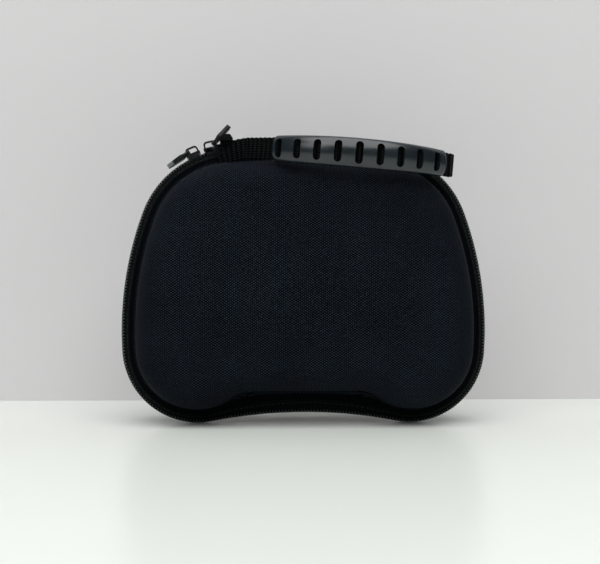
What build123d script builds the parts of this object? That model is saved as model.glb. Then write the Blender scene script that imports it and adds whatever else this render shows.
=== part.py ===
from build123d import *
from math import atan2, cos, degrees, hypot, radians, sin, sqrt
import os

# A zipped carrying case for a game controller, standing upright on its zip.
# X runs to the right, Y to the back and Z up. The origin is on the table, under the middle
# of the parting plane, where the front half (the lid) meets the back half. Millimetres.

# Outline of the closed case over the crest of the zip, seen from the front
case_height = 136.5
half_width = 90.0
widest_height = 46.0
top_radius = 600.0
corner_radius = 48.0
side_radius = 168.0
lobe_radius = 37.5
notch_rise = 5.0

# Moulded shells: depths from the parting plane, wall, draft and the deeper notch of the walls
front_depth = 33.0
back_depth = 37.0
shell_wall = 4.2
shell_inset = 7.3
shell_draft = 4.5
face_edge_radius = 12.0
face_crown_radius = 900.0
face_crown_height = 70.0
notch_side = 64.0
notch_flat_height = 16.1
flange_start = 5.4
flange_thickness = 3.5

# Zip tape: a flat strip under the coil that slopes in to the flange it is sewn to
parting_gap = 0.5
tape_thickness = 0.9
tape_inset = 2.0
tape_flat_width = 5.0
tape_edge_inset = 4.5
tape_edge_notch = 12.0

# Zip coil
coil_reach = 3.7
tooth_pitch = 2.1
tooth_depth = 0.6

# Edge binding inside each rim
binding_thickness = 0.8
binding_width = 5.5

# Folded fabric hinge inside the bottom of the rim
hinge_half_length = 30.0
hinge_thickness = 0.8
hinge_leaf_gap = 1.2
hinge_foot = 4.2
hinge_fold_height = 24.0

# Elastic strap on the floor of the back half
strap_width = 25.0
strap_thickness = 1.6
strap_end_room = 27.0
strap_height = 76.0

# Net pocket inside the lid
pocket_depth = 8.0
net_thickness = 0.8
net_top = 80.0
net_side_margin = 6.0
net_cell = 12.0
net_cord = 2.2
hem_height = 7.0
hem_thickness = 1.8

# Carrying handle: webbing through a slotted grip, folded back at its right end
webbing_width = 11.0
webbing_thickness = 1.5
grip_radius = 66.0
grip_half_angle = 39.0
grip_middle_x = 25.0
grip_stand_off = 7.5
grip_drop = 5.9
grip_tilt = 4.8
grip_thickness = 6.4
grip_end_height = 12.8
grip_middle_height = 15.0
grip_edge_round = 2.4
grip_channel_gap = 0.1
slot_count = 9
slot_pitch_angle = 8.9
slot_width = 3.9
slot_end_length = 8.4
slot_middle_length = 10.2
fold_run = 3.5
fold_radius = 3.0
fold_turn = 119.0
handle_axis_stand_off = 2.0
roll_radius = 1.7
roll_length = 5.4
roll_gap = 0.08
roll_sink = 1.25
anchor_wall = 1.3
anchor_tab_thickness = 1.6
anchor_side_gap = 0.4

# Zip sliders and their pulls, all on the arc of the top left corner
left_slider_angle = 114.0
right_slider_angle = 103.4
slider_length = 7.2
slider_nose_width = 9.4
slider_tail_width = 7.6
slider_plate = 1.4
slider_gap = 0.35
slider_post = 0.5
slider_post_length = 2.2
crown_length = 6.4
crown_height = 3.4
crown_width = 2.2
crown_thickness = 0.8
pull_length = 15.0
pull_root_width = 5.4
pull_tip_width = 3.6
pull_thickness = 1.2
pull_gap = 0.75
pull_window_width = 3.6
pull_window_length = 3.6
pull_hole_radius = 0.8
pull_end_play = 0.2
left_pull_lift = -11.0
right_pull_lift = 36.0
right_pull_lean = 12.0


# Helpers for plane geometry in X and Z
def bearing(start, end):
    """Direction from one point to another, in degrees from +X towards +Z."""
    return degrees(atan2(end[1] - start[1], end[0] - start[0]))


def circles_meet(centre_a, radius_a, centre_b, radius_b):
    """The point where two circles meet, on the side of larger X."""
    gap_x, gap_z = centre_b[0] - centre_a[0], centre_b[1] - centre_a[1]
    gap = hypot(gap_x, gap_z)
    along = (radius_a**2 - radius_b**2 + gap**2) / (2 * gap)
    aside = sqrt(radius_a**2 - along**2)
    foot = (centre_a[0] + gap_x * along / gap, centre_a[1] + gap_z * along / gap)
    options = [(foot[0] + s * gap_z * aside / gap, foot[1] - s * gap_x * aside / gap) for s in (1, -1)]
    return max(options)


# Centres of the tangent arcs, which every offset of the outline shares
notch_flat_half = half_width - notch_side
top_centre = (0.0, case_height - top_radius)
side_centre = (half_width - side_radius, widest_height)
corner_centre = circles_meet(
    side_centre, side_radius - corner_radius, top_centre, top_radius - corner_radius
)
lobe_gap = side_radius - lobe_radius
lobe_centre = (
    side_centre[0] + sqrt(lobe_gap**2 - (widest_height - lobe_radius) ** 2),
    lobe_radius,
)
corner_start = bearing(side_centre, corner_centre)
corner_end = bearing(top_centre, corner_centre)
lobe_end = bearing(side_centre, lobe_centre)


def upper_arcs(inset):
    """Top, corners and sides of the outline, moved in by an inset."""
    top = CenterArc(top_centre, top_radius - inset, corner_end, 180 - 2 * corner_end)
    corner = CenterArc(corner_centre, corner_radius - inset, corner_start, corner_end - corner_start)
    side = CenterArc(side_centre, side_radius - inset, lobe_end, corner_start - lobe_end)
    return top, corner + side


def band_face(inset, notch_height, distance):
    """Face inside the zip's outline, with a round notch below, at a distance from the parting plane."""
    lobe = lobe_radius - inset
    rise = lobe_centre[1] - notch_height
    notch = (lobe_centre[0] ** 2 + rise**2 - lobe**2) / (2 * (lobe - rise))
    notch_centre = (0.0, notch_height - notch)
    lobe_start = bearing(lobe_centre, notch_centre)
    notch_start = bearing(notch_centre, lobe_centre)
    top, right = upper_arcs(inset)
    right += CenterArc(lobe_centre, lobe, lobe_start, lobe_end - lobe_start)
    bottom = CenterArc(notch_centre, notch, notch_start, 180 - 2 * notch_start)
    return Plane.XZ.offset(distance) * make_face(top + right + mirror(right, Plane.YZ) + bottom)


def wall_face(inset, distance):
    """Face inside the moulded wall's outline, whose notch has a flat top and round shoulders."""
    wall_lobe = lobe_radius - shell_inset
    rise = lobe_centre[1] - notch_flat_height
    run = lobe_centre[0] - notch_flat_half
    shoulder = (run**2 + rise**2 - wall_lobe**2) / (2 * (wall_lobe - rise))
    shoulder_centre = (notch_flat_half, notch_flat_height - shoulder)
    moved = inset - shell_inset
    flat_height = notch_flat_height + moved
    lobe_start = bearing(lobe_centre, shoulder_centre)
    shoulder_start = bearing(shoulder_centre, lobe_centre)
    top, right = upper_arcs(inset)
    right += CenterArc(lobe_centre, lobe_radius - inset, lobe_start, lobe_end - lobe_start)
    right += CenterArc(shoulder_centre, shoulder + moved, shoulder_start, 90 - shoulder_start)
    flat = Line((notch_flat_half, flat_height), (-notch_flat_half, flat_height))
    return Plane.XZ.offset(distance) * make_face(top + right + mirror(right, Plane.YZ) + flat)


def slab(near, far):
    """Everything between two distances in front of the parting plane."""
    return Pos(0, -(near + far) / 2, case_height / 2) * Box(4 * half_width, far - near, 4 * case_height)


# Moulded half shells, made for the front and mirrored for the back
def shell_form(depth, inset, edge_radius, crowned):
    """Solid form of a moulded half from its flange to its face, with a rounded face edge."""
    start = wall_face(inset, flange_start)
    form = extrude(start, depth - flange_start, taper=shell_draft)
    form = fillet(form.faces().sort_by(Axis.Y)[0].edges(), edge_radius)
    if crowned:
        ball_radius = face_crown_radius - (inset - shell_inset)
        form &= Pos(0, ball_radius - depth, face_crown_height) * Sphere(ball_radius)
    return form


def cavity(depth, crowned):
    """The hollow of a half, one wall inside its outer form."""
    return shell_form(depth - shell_wall, shell_inset + shell_wall, face_edge_radius - shell_wall, crowned)


def tape_slope(inward):
    """Solid inside the sloping part of the tape, moved in by a thickness."""
    near = band_face(tape_inset + inward, notch_rise + tape_inset + inward, tape_flat_width)
    far = band_face(
        tape_edge_inset + inward, tape_edge_notch + inward, flange_start + flange_thickness
    )
    return loft([near, far], ruled=True)


def half_shell(depth, crowned):
    """One laminated, moulded half: dished wall and the flange that the tape is sewn to."""
    outer = shell_form(depth, shell_inset, face_edge_radius, crowned)
    flange = tape_slope(tape_thickness) & slab(flange_start, flange_start + flange_thickness)
    return outer + flange - cavity(depth, crowned)


def zip_tape():
    """Fabric tape of one half, flat beside the coil and sloping in to the flange."""
    flat_outer = band_face(tape_inset, notch_rise + tape_inset, parting_gap)
    flat_inner = band_face(
        tape_inset + tape_thickness, notch_rise + tape_inset + tape_thickness, parting_gap
    )
    flat = extrude(flat_outer - flat_inner, tape_flat_width - parting_gap)
    return flat + (tape_slope(0) - tape_slope(tape_thickness))


def zip_coil(phase):
    """Half of the zip's chain: a ring of ridges, with its phase counted in teeth."""
    crest = band_face(0, notch_rise, 0).face().outer_wire()
    count = round(crest.length / tooth_pitch)
    middle = Vector(0, 0, widest_height)
    points = []
    for tooth in range(count):
        at = ((tooth + phase) / count) % 1
        points.append(crest.position_at(at))
        between = ((tooth + phase + 0.5) / count) % 1
        inward = crest.tangent_at(between).cross(Vector(0, 1, 0))
        root = crest.position_at(between)
        if inward.dot(middle - root) < 0:
            inward = inward * -1
        points.append(root + inward * tooth_depth)
    ridges = Pos(0, -parting_gap, 0) * make_face(Polyline(*points, close=True))
    ring = ridges - band_face(tape_inset, notch_rise + tape_inset, parting_gap)
    return extrude(ring, coil_reach - parting_gap, dir=(0, -1, 0))


def rim_binding():
    """Tape binding over the inner edge of the rim and a little way down the wall."""
    inner = shell_inset + shell_wall
    cover = wall_face(shell_inset, flange_start) - wall_face(inner + binding_thickness, flange_start)
    lip = extrude(cover, -binding_thickness)
    wall = extrude(wall_face(inner, flange_start), binding_width, taper=shell_draft)
    hollow = extrude(wall_face(inner + binding_thickness, flange_start), binding_width, taper=shell_draft)
    return lip + (wall - hollow)


def to_back(part):
    """The same part on the back half."""
    return mirror(part, about=Plane.XZ)


# Fabric hinge and inner fittings
def fabric_hinge():
    """A strip folded up between the halves, with a foot on each tape, sewn to the back one."""
    lid_gap = 0.3
    tape_inside = tape_inset + tape_thickness
    outer_leaf = hinge_leaf_gap / 2 + hinge_thickness
    fold = Pos(0, 0, hinge_fold_height) * (
        Cylinder(outer_leaf, 2 * hinge_half_length, rotation=(0, 90, 0))
        - Cylinder(hinge_leaf_gap / 2, 2 * hinge_half_length, rotation=(0, 90, 0))
    )
    fold &= Pos(0, 0, hinge_fold_height + outer_leaf) * Box(
        2 * hinge_half_length, 2 * outer_leaf, 2 * outer_leaf
    )
    leaf_size = (2 * hinge_half_length, hinge_thickness, hinge_fold_height)
    leaf = Box(*leaf_size, align=(Align.CENTER, Align.MIN, Align.MIN))
    sheet = fold + Pos(0, hinge_leaf_gap / 2, 0) * leaf + Pos(0, -outer_leaf, 0) * leaf
    strip = Pos(0, 0, hinge_fold_height) * Box(
        2 * hinge_half_length, 4 * hinge_foot, 2 * hinge_fold_height + 2 * outer_leaf
    )
    back_room = extrude(band_face(tape_inside, notch_rise + tape_inside, 0), -tape_flat_width)
    lid_inside = tape_inside + lid_gap
    lid_room = extrude(band_face(lid_inside, notch_rise + lid_inside, 0), tape_flat_width)
    back_foot_top = band_face(
        tape_inside + hinge_thickness, notch_rise + tape_inside + hinge_thickness, 0
    )
    lid_foot_top = band_face(
        lid_inside + hinge_thickness, notch_rise + lid_inside + hinge_thickness, 0
    )
    back_foot = (back_room - extrude(back_foot_top, -tape_flat_width)) & strip
    lid_foot = (lid_room - extrude(lid_foot_top, tape_flat_width)) & strip
    foot_reach = Box(2 * hinge_half_length, 2 * hinge_foot, hinge_fold_height)
    gap = Box(2 * hinge_half_length, hinge_leaf_gap, hinge_fold_height)
    feet = (back_foot + lid_foot) & foot_reach
    return (sheet & (back_room + lid_room)) + (feet - gap)


def retaining_strap():
    """Elastic strap lying across the floor of the back half."""
    floor = back_depth - shell_wall
    strap_length = 2 * (half_width - strap_end_room)
    flat = RectangleRounded(strap_length, strap_width, strap_thickness)
    return Plane.XZ.offset(-floor) * Pos(0, strap_height) * extrude(flat, strap_thickness)


def pocket_net(hollow):
    """Net across the lower part of the lid's hollow, with open diamond meshes."""
    near = front_depth - shell_wall - pocket_depth - net_thickness
    sheet = hollow & slab(near, near + net_thickness)
    below = Pos(0, 0, net_top - case_height) * Box(4 * half_width, 4 * front_depth, 2 * case_height)
    sheet &= below
    half = net_cell / 2
    hole = extrude(
        Rot(0, 0, 45) * Rectangle((net_cell - net_cord) / sqrt(2), (net_cell - net_cord) / sqrt(2)),
        2 * net_thickness,
        both=True,
    )
    limit = wall_face(shell_inset + shell_wall + net_side_margin, near).face()
    holes = []
    rows = int(2 * net_top / net_cell)
    columns = int(2 * half_width / net_cell)
    for row in range(rows):
        for column in range(-columns, columns + 1):
            x = column * net_cell + (half if row % 2 else 0)
            z = net_top - hem_height - half - row * half
            corners = [Vector(x + a, -near, z + b) for a, b in ((half, 0), (-half, 0), (0, half), (0, -half))]
            if all(limit.is_inside(corner) for corner in corners):
                holes.append(Plane.XZ.offset(near) * Pos(x, z) * hole)
    return sheet - holes


def pocket_hem(hollow):
    """Elastic hem along the top of the net, on its parting side."""
    near = front_depth - shell_wall - pocket_depth - net_thickness - hem_thickness
    strip = Pos(0, 0, net_top - hem_height / 2) * Box(4 * half_width, 4 * front_depth, hem_height)
    return hollow & slab(near, near + hem_thickness) & strip


# Handle
grip_reach = front_depth + grip_stand_off
grip_height = case_height - grip_drop
handle_axis_depth = flange_start + flange_thickness + handle_axis_stand_off
grip_centre = (grip_middle_x, grip_radius - grip_reach)
fold_heading = grip_half_angle + fold_turn
handle_run = (-handle_axis_depth - grip_centre[1] + grip_radius * cos(radians(grip_half_angle))) / sin(
    radians(grip_half_angle)
)
left_end_x = (
    grip_middle_x
    - grip_radius * sin(radians(grip_half_angle))
    - handle_run * cos(radians(grip_half_angle))
)
handle_axis_height = (
    grip_height
    + (grip_middle_x - left_end_x) * sin(radians(grip_tilt))
    + webbing_width / 2
    - roll_sink
)
tilt = Pos(grip_middle_x, 0, grip_height) * Rot(0, grip_tilt, 0) * Pos(-grip_middle_x, 0, 0)


def webbing_path():
    """Plan of the webbing from its left end, round the grip's arc to the end of the fold."""
    arc = CenterArc(grip_centre, grip_radius, 270 - grip_half_angle, 2 * grip_half_angle)
    away = Vector(-cos(radians(grip_half_angle)), sin(radians(grip_half_angle)))
    onward = Vector(cos(radians(grip_half_angle)), sin(radians(grip_half_angle)))
    left = Line(arc @ 0 + away * handle_run, arc @ 0)
    right = Line(arc @ 1, arc @ 1 + onward * fold_run)
    fold = JernArc(start=right @ 1, tangent=right % 1, radius=fold_radius, arc_size=fold_turn)
    return Wire([left, arc, right, fold])


def return_leg(fold_end):
    """Webbing from the fold back to the right anchor, climbing to the handle's axis."""
    heading = Vector(cos(radians(fold_heading)), sin(radians(fold_heading)))
    run = (-handle_axis_depth - fold_end.Y) / heading.Y
    start_height = grip_height - (fold_end.X - grip_middle_x) * sin(radians(grip_tilt))
    end_height = handle_axis_height + roll_sink - webbing_width / 2
    half = webbing_width / 2
    side = Plane(origin=(fold_end.X, fold_end.Y, 0), x_dir=heading, z_dir=heading.cross(Vector(0, 0, 1)))
    corners = [
        (0, start_height - half), (run, end_height - half), (run, end_height + half), (0, start_height + half),
    ]
    sheet = extrude(side * make_face(Polyline(*corners, close=True)), webbing_thickness / 2, both=True)
    return sheet, fold_end.X + run * heading.X


def roll_at(end_x):
    """Rolled end of the webbing, which turns in its anchor, to the left of a given X."""
    overlap = webbing_thickness
    length = roll_length + anchor_side_gap + overlap
    roll = Cylinder(roll_radius, length, rotation=(0, 90, 0))
    return Pos(end_x + overlap - length / 2, -handle_axis_depth, handle_axis_height) * roll


def handle_webbing(path):
    """Webbing strap with its fold and its two rolled ends."""
    section = Plane(origin=path @ 0, x_dir=(0, 0, 1), z_dir=path % 0) * Rectangle(
        webbing_width, webbing_thickness
    )
    leg, right_end_x = return_leg(tilt_point(path @ 1))
    strap = tilt * sweep(section, path=path)
    return strap + leg + roll_at(left_end_x) + roll_at(right_end_x), right_end_x


def tilt_point(point):
    """A point of the level plan after the handle's tilt."""
    return (tilt * Pos(point.X, point.Y, point.Z)).position


def handle_grip():
    """Arched sleeve with slots through its front wall and a channel for the webbing."""
    half_thickness = grip_thickness / 2
    channel_half = webbing_thickness / 2 + grip_channel_gap
    length = grip_radius * sin(radians(grip_half_angle))
    rise = (grip_middle_height - grip_end_height) / 2
    bow = (length**2 + rise**2) / (2 * rise)

    def ring(inner, outer, height):
        """Part of a ring round the grip's centre, over its angle."""
        arc_out = CenterArc((0, 0), outer, 270 - grip_half_angle, 2 * grip_half_angle)
        arc_in = CenterArc((0, 0), inner, 270 - grip_half_angle, 2 * grip_half_angle)
        sides = Line(arc_out @ 0, arc_in @ 0) + Line(arc_out @ 1, arc_in @ 1)
        return extrude(make_face(arc_out + arc_in + sides), height / 2, both=True)

    body = ring(grip_radius - half_thickness, grip_radius + half_thickness, 2 * grip_middle_height)
    lens = Pos(0, 0, grip_middle_height / 2 - bow) * Cylinder(bow, 4 * grip_radius, rotation=(90, 0, 0))
    lens &= Pos(0, 0, bow - grip_middle_height / 2) * Cylinder(bow, 4 * grip_radius, rotation=(90, 0, 0))
    body &= lens
    long_edges = body.edges().filter_by(lambda edge: edge.length > length)
    body = fillet(long_edges, grip_edge_round)
    body -= ring(
        grip_radius - channel_half, grip_radius + channel_half, webbing_width + 2 * grip_channel_gap
    )
    for slot in range(slot_count):
        off_middle = slot - (slot_count - 1) / 2
        share = 1 - abs(off_middle) / ((slot_count - 1) / 2)
        slot_length = slot_end_length + (slot_middle_length - slot_end_length) * share
        cutter = extrude(SlotOverall(slot_length, slot_width), half_thickness + 1)
        place = Rot(0, 0, off_middle * slot_pitch_angle) * Pos(0, -grip_radius, 0) * Rot(90, 0, 0)
        body -= place * Rot(0, 0, 90) * cutter
    return tilt * Pos(grip_centre[0], grip_centre[1], 0) * body


def handle_anchor(end_x, shell):
    """Webbing tab on the flange with an eye round the rolled end, to the left of a given X."""
    eye_radius = roll_radius + roll_gap + anchor_wall
    middle_x = end_x - anchor_side_gap - roll_length / 2
    seat = flange_start + flange_thickness
    foot = case_height - shell_inset - 2 * face_edge_radius
    eye = Pos(middle_x, -handle_axis_depth, handle_axis_height) * Cylinder(
        eye_radius, roll_length, rotation=(0, 90, 0)
    )
    hole = Pos(middle_x, -handle_axis_depth, handle_axis_height) * Cylinder(
        roll_radius + roll_gap, 2 * roll_length, rotation=(0, 90, 0)
    )
    tab = Pos(middle_x, -seat, foot) * Box(
        roll_length,
        anchor_tab_thickness,
        handle_axis_height - foot,
        align=(Align.CENTER, Align.MAX, Align.MIN),
    )
    pieces = (eye + tab - hole - shell).solids()
    return pieces.sort_by(Axis.Z)[-1]


# Zip sliders and pulls, made round the corner's centre and turned to their place
corner_left = (-corner_centre[0], corner_centre[1])
plate_top = corner_radius + slider_gap + slider_plate
pull_axis_radius = plate_top + pull_gap + pull_thickness / 2
pull_axis_shift = crown_length / 2 - crown_thickness - pull_thickness / 2 - pull_end_play


def slider_frame(angle, towards):
    """Plane at the crest of the zip: x along the zip away from the other slider, z outwards."""
    out = Vector(cos(radians(angle)), 0, sin(radians(angle)))
    along = Vector(-sin(radians(angle)), 0, cos(radians(angle))) * towards
    crest = Vector(corner_left[0], 0, corner_left[1]) + out * corner_radius
    return Plane(origin=crest, x_dir=along, z_dir=out)


def zip_slider(angle, towards):
    """Slider with a plate on each side of the chain, a post between its halves and a crown."""
    half = slider_length / 2
    nose, tail = slider_nose_width / 2, slider_tail_width / 2
    corners = [(-half, nose), (0, nose), (half, tail), (half, -tail), (0, -nose), (-half, -nose)]
    plan = make_face(Polyline(*corners, close=True))
    plan = fillet(plan.vertices(), slider_plate)
    under = tape_inset + tape_thickness + slider_gap
    block = extrude(plan, slider_gap + slider_plate) + extrude(plan, -under - slider_plate)
    chain = Pos(0, 0, -corner_radius) * (
        Cylinder(corner_radius + slider_gap, 2 * slider_nose_width, rotation=(90, 0, 0))
        - Cylinder(corner_radius - under, 4 * slider_nose_width, rotation=(90, 0, 0))
    )
    body = block - chain
    post_height = slider_gap + slider_plate / 2 + under + slider_plate / 2
    post = Pos(-half + slider_plate + slider_post_length / 2, 0, 0) * Box(
        slider_post_length, slider_post, post_height, align=(Align.CENTER, Align.CENTER, Align.MIN)
    )
    body += Pos(0, 0, -under - slider_plate / 2) * post
    arch = Plane.XZ * Pos(0, slider_gap + slider_plate / 2) * crown_arch()
    body += extrude(arch, crown_width / 2, both=True)
    return slider_frame(angle, towards) * body


def crown_arch():
    """Side view of the crown: a low arch, closed below inside the plate."""
    outer = Rectangle(crown_length, crown_height + slider_plate / 2, align=(Align.CENTER, Align.MIN))
    outer = fillet(outer.vertices().group_by(Axis.Y)[-1], crown_height / 2)
    inner = Pos(0, slider_plate / 2) * Rectangle(
        crown_length - 2 * crown_thickness, crown_height - crown_thickness, align=(Align.CENTER, Align.MIN)
    )
    inner = fillet(inner.vertices().group_by(Axis.Y)[-1], crown_height / 2 - crown_thickness)
    return outer - inner


def zip_pull(angle, towards, lift, lean):
    """Tapered pull with a window round the crown, a cross bar under it and a hole at the tip."""
    root, tip = pull_root_width / 2, pull_tip_width / 2
    start = -pull_thickness / 2
    corners = [(start, root), (pull_window_length + 1, root), (pull_length, tip)]
    corners += [(x, -y) for x, y in reversed(corners)]
    plan = make_face(Polyline(*corners, close=True))
    plan = fillet(plan.vertices().group_by(Axis.X)[-1], tip * 0.9)
    window = Pos(pull_thickness / 2, 0) * Rectangle(
        pull_window_length, pull_window_width, align=(Align.MIN, Align.CENTER)
    )
    plan -= window
    plan -= Pos(pull_length - tip - pull_hole_radius / 2, 0) * Circle(pull_hole_radius)
    plate = extrude(plan, pull_thickness / 2, both=True)
    cross_edges = plate.edges().filter_by(Axis.Y).group_by(Axis.X)
    plate = fillet(cross_edges[0] + cross_edges[1], pull_thickness * 0.45)
    hinge = Pos(pull_axis_shift, 0, pull_axis_radius - corner_radius)
    return slider_frame(angle, towards) * hinge * Rot(0, -lift, 0) * Rot(lean, 0, 0) * plate


# All the pieces
front_hollow = cavity(front_depth, True)
front_shell = half_shell(front_depth, True)
strap_path = webbing_path()
webbing, right_end_x = handle_webbing(strap_path)

nodes = {
    "back_shell": to_back(half_shell(back_depth, False)),
    "back_zip_tape": to_back(zip_tape()),
    "back_zip_coil": to_back(zip_coil(0.5)),
    "back_rim_binding": to_back(rim_binding()),
    "fabric_hinge": fabric_hinge(),
    "retaining_strap": retaining_strap(),
    "front_shell": front_shell,
    "front_zip_tape": zip_tape(),
    "front_zip_coil": zip_coil(0),
    "front_rim_binding": rim_binding(),
    "pocket_net": pocket_net(front_hollow),
    "pocket_hem": pocket_hem(front_hollow),
    "handle_anchor_left": handle_anchor(left_end_x, front_shell),
    "handle_anchor_right": handle_anchor(right_end_x, front_shell),
    "handle_webbing": webbing,
    "handle_grip": handle_grip(),
    "slider_left": zip_slider(left_slider_angle, 1),
    "slider_right": zip_slider(right_slider_angle, -1),
    "pull_left": zip_pull(left_slider_angle, 1, left_pull_lift, 0),
    "pull_right": zip_pull(right_slider_angle, -1, right_pull_lift, right_pull_lean),
}

os.makedirs("parts", exist_ok=True)
for name, shape in nodes.items():
    export_step(shape, f"parts/{name}.step")
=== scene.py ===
import bpy
import bmesh
import numpy as np
from math import atan2, cos, hypot, pi, radians, sin, sqrt, tan
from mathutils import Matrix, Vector


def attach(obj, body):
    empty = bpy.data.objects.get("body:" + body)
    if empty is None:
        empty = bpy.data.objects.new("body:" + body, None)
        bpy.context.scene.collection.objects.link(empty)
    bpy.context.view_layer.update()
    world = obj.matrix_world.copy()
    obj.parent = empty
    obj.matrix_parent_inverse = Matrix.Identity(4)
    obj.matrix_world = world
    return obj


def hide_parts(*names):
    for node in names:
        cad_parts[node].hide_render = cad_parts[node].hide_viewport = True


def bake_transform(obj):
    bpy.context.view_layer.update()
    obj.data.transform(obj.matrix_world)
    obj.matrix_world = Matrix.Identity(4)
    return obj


# A zipped carrying case for a game controller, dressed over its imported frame.
# Lengths in the dictionaries are millimetres and angles are degrees; meshes are in metres.

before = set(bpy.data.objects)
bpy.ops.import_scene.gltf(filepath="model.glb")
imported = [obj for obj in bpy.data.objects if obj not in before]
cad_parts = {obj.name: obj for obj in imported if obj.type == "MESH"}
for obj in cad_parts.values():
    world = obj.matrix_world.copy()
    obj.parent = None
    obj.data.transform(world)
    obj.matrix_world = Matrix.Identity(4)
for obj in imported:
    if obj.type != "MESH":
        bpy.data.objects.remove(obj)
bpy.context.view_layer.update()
mm = 0.001
meshLook = dict(mergeDistance=2e-6, flatAngle=1.0, sharpAngle=40.0, bevelAngle=45.0, bevelSegments=2)


# mesh helpers

def linked(name, data):
    made = bpy.data.objects.new(name, data)
    bpy.context.scene.collection.objects.link(made)
    return made


def merged(mesh, flatAngle=None):
    # joins points that lie together, and then flat faces, or turns the faces outwards
    work = bmesh.new()
    work.from_mesh(mesh)
    bmesh.ops.remove_doubles(work, verts=work.verts, dist=meshLook["mergeDistance"])
    if flatAngle:
        bmesh.ops.dissolve_limit(work, angle_limit=radians(flatAngle), verts=work.verts, edges=work.edges)
    else:
        bmesh.ops.recalc_face_normals(work, faces=work.faces)
    work.to_mesh(mesh)
    work.free()


def joined(*parts):
    # coordinates in one array, each part stretched to the shape of all
    return np.stack(np.broadcast_arrays(*parts), -1)


def surface(name, points, uv=None, closeAlong=False, rowMaterial=None):
    # points: grids x rows x columns x 3 in millimetres, closed across the columns; uv: one more column,
    # and one more row where it is closed along its rows too
    points = points[None] if points.ndim == 3 else points
    grids, rows, columns = points.shape[:3]
    if uv is None:
        uv = np.zeros((grids, rows + 1, columns + 1, 2))
    uv = uv[None] if uv.ndim == 3 else uv
    i = np.arange(rows if closeAlong else rows - 1)
    g, i, j = np.meshgrid(np.arange(grids), i, np.arange(columns), indexing="ij")
    corners = [(i, j), (i + 1, j), (i + 1, j + 1), (i, j + 1)]
    quads = np.stack([g * rows * columns + (a % rows) * columns + b % columns for a, b in corners], -1)
    coords = np.stack([uv[g, a, b] for a, b in corners], -2) * mm
    mesh = bpy.data.meshes.new(name)
    mesh.from_pydata((points.reshape(-1, 3) * mm).tolist(), [], quads.reshape(-1, 4).tolist())
    layer = mesh.uv_layers.new(name="cloth")
    layer.data.foreach_set("uv", coords.reshape(-1).astype(np.float32))
    if rowMaterial is not None:
        mesh.polygons.foreach_set("material_index", rowMaterial[i].ravel().astype(np.int32))
    mesh.polygons.foreach_set("use_smooth", np.ones(len(mesh.polygons), bool))
    merged(mesh)
    return linked(name, mesh)


def place(piece, body, slotName, materials, *nodes):
    for material in materials:
        piece.data.materials.append(material)
    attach(piece, body)
    if nodes:
        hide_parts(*nodes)
    return piece


def closed(loop):
    return np.concatenate([loop, loop[:1]])


def runLength(line):
    # distance along a line of points, from its first point
    steps = np.linalg.norm(np.diff(line, axis=0), axis=1)
    return np.concatenate([[0], np.cumsum(steps)])


def pointsAt(at, run, line):
    # a line's values at given distances along it
    return joined(*[np.interp(at, run, part) for part in line.T])


def capped(rows):
    # rows with each end drawn together in the middle of its last row
    first, last = [row.mean(1, keepdims=True).repeat(rows.shape[1], 1) for row in (rows[:1], rows[-1:])]
    return np.concatenate([first, rows, last])


def endToEnd(low, high):
    # the four rows of a closed bar, each as a place and a size
    return [(low, 0), (low, 1), (high, 1), (high, 0)]


def circle(count):
    return np.linspace(0, 2 * pi, count, endpoint=False)


def squared(count, power):
    # a rounded square: sign(cos) |cos|^power and sign(sin) |sin|^power
    turn = circle(count)
    return [np.sign(part) * np.abs(part) ** power for part in (np.cos(turn), np.sin(turn))]


def ribbon(line, across, width, thickness, corner=0.35, ribPitch=0.0, ribDepth=0.0, narrow=1.0):
    # a rounded flat section along a line: point + across * a + normal * b, closed at both ends;
    # cross ribs narrow the section by ribDepth * (1 - cos(2 pi length / ribPitch)) / 2
    cornerPoints, pointsPerRib, fewest = 5, 7, 8
    line = np.asarray(line, float)
    across = np.broadcast_to(np.asarray(across, float), line.shape)
    narrow = np.broadcast_to(narrow, len(line))
    if ribPitch:
        run = runLength(line)
        at = np.linspace(0, run[-1], max(fewest, int(run[-1] / ribPitch * pointsPerRib)))
        narrow = np.interp(at, run, narrow)
        line, across = pointsAt(at, run, line), pointsAt(at, run, across)
    along = np.gradient(line, axis=0)
    along /= np.linalg.norm(along, axis=1)[:, None]
    across = across - (across * along).sum(1)[:, None] * along
    across /= np.linalg.norm(across, axis=1)[:, None]
    normal = np.cross(along, across)
    radius = thickness * corner
    angle = (np.linspace(0, pi / 2, cornerPoints) + np.arange(4)[:, None] * pi / 2).ravel()
    sideA, sideB = np.repeat([[1, -1, -1, 1], [1, 1, -1, -1]], cornerPoints, axis=1)
    a = sideA * (width / 2 - radius) + radius * np.cos(angle)
    b = sideB * (thickness / 2 - radius) + radius * np.sin(angle)
    run = runLength(line)
    dip = ribDepth * (1 - np.cos(2 * pi * run / ribPitch)) / 2 if ribPitch else 0 * run
    wide = a[None] * (narrow - 2 * dip / width)[:, None]
    thick = b[None] * (1 - 2 * dip / thickness)[:, None]
    rows = line[:, None] + across[:, None] * wide[..., None] + normal[:, None] * thick[..., None]
    return capped(rows), joined(closed(a), np.pad(run, 1, mode="edge")[:, None])


# material helpers

def setInputs(node, values):
    for socket, value in values.items():
        node.inputs[socket].default_value = value


def shader(name, colour, roughness, metallic=0.0, specular=0.5):
    material = bpy.data.materials.new(name)
    material.use_nodes = True
    principled = material.node_tree.nodes["Principled BSDF"]
    setInputs(principled, {"Base Color": (*colour, 1), "Roughness": roughness, "Metallic": metallic,
                           "Specular IOR Level": specular})
    material.diffuse_color = (*colour, 1)
    return material, material.node_tree, principled


def sums(tree, operation, *values):
    node = tree.nodes.new("ShaderNodeMath")
    node.operation = operation
    for socket, value in zip(node.inputs, values):
        if isinstance(value, (int, float)):
            socket.default_value = value
        else:
            tree.links.new(value, socket)
    return node.outputs[0]


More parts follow.
